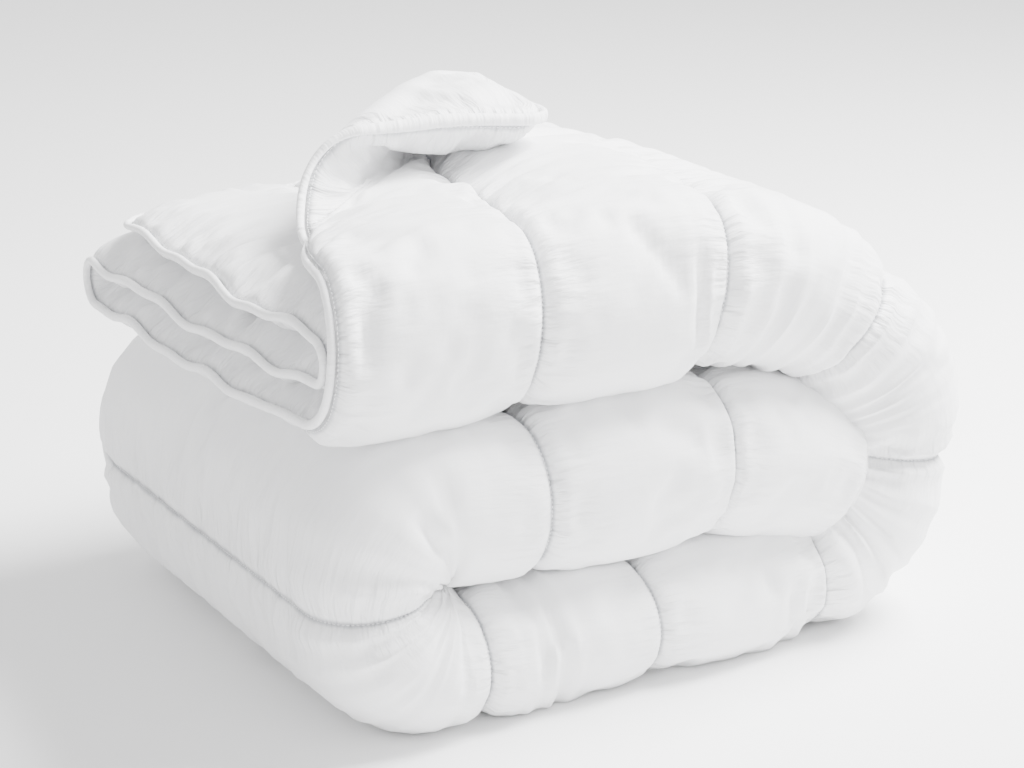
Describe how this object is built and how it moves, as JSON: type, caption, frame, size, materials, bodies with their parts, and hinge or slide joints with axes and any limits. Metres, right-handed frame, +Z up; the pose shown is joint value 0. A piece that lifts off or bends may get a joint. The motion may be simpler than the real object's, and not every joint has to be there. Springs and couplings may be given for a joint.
{
  "type": "duvet",
  "caption": "White channel-quilted duvet with piped edges, folded lengthways in four and rolled into a soft stack, one corner turned back.",
  "frame": {"origin": "middle of the bundle's outline on the ground, at the height of its underside", "axes": "+X along the roll, towards the bend of the top pass; +Y towards the free edge of the top layer, away from the fold noses; +Z up"},
  "size_m": [0.7187, 0.5844, 0.5057],
  "materials": {
    "upper_fabric": "brushed microfibre, soft sheen",
    "lower_fabric": "brushed microfibre, soft sheen",
    "piping_fabric": "plain woven binding",
    "piping_cord": "twisted cotton",
    "fibre_filling": "lofty polyester fibre",
    "thread": "polyester sewing thread"
  },
  "bodies": {
    "bundle": {"bundle_edge_seam": "thread", "bundle_lower_cover": "lower_fabric", "bundle_piping_casing": "piping_fabric", "bundle_piping_cord": "piping_cord", "bundle_upper_cover": "upper_fabric", "filling_04": "fibre_filling", "filling_05": "fibre_filling", "filling_06": "fibre_filling", "filling_07": "fibre_filling", "filling_08": "fibre_filling", "filling_09": "fibre_filling", "filling_10": "fibre_filling", "filling_11": "fibre_filling", "quilting_seam_03": "thread", "quilting_seam_04": "thread", "quilting_seam_05": "thread", "quilting_seam_06": "thread", "quilting_seam_07": "thread", "quilting_seam_08": "thread", "quilting_seam_09": "thread", "quilting_seam_10": "thread"},
    "top_pass": {"filling_01": "fibre_filling", "filling_02": "fibre_filling", "filling_03": "fibre_filling", "quilting_seam_01": "thread", "quilting_seam_02": "thread", "top_pass_back_edge_seam": "thread", "top_pass_back_piping_casing": "piping_fabric", "top_pass_back_piping_cord": "piping_cord", "top_pass_edge_seam": "thread", "top_pass_lower_cover": "lower_fabric", "top_pass_piping_casing": "piping_fabric", "top_pass_piping_cord": "piping_cord", "top_pass_upper_cover": "upper_fabric"},
    "corner_flap": {"corner_flap_edge_seam": "thread", "corner_flap_filling": "fibre_filling", "corner_flap_lower_cover": "lower_fabric", "corner_flap_piping_casing": "piping_fabric", "corner_flap_piping_cord": "piping_cord", "corner_flap_quilting_seam": "thread", "corner_flap_side_filling": "fibre_filling", "corner_flap_upper_cover": "upper_fabric"}
  },
  "joints": [
    {"name": "top_pass_lift", "type": "hinge", "parent": "bundle", "child": "top_pass", "pos_m": [0.26735, 0, 0.3757], "axis": [0, 1, 0], "range_deg": [0, 45]},
    {"name": "corner_flap_lift", "type": "hinge", "parent": "top_pass", "child": "corner_flap", "pos_m": [-0.19237, 0.11062, 0.46304], "axis": [-0.7071, -0.7071, 0], "range_deg": [0, 170]}
  ]
}
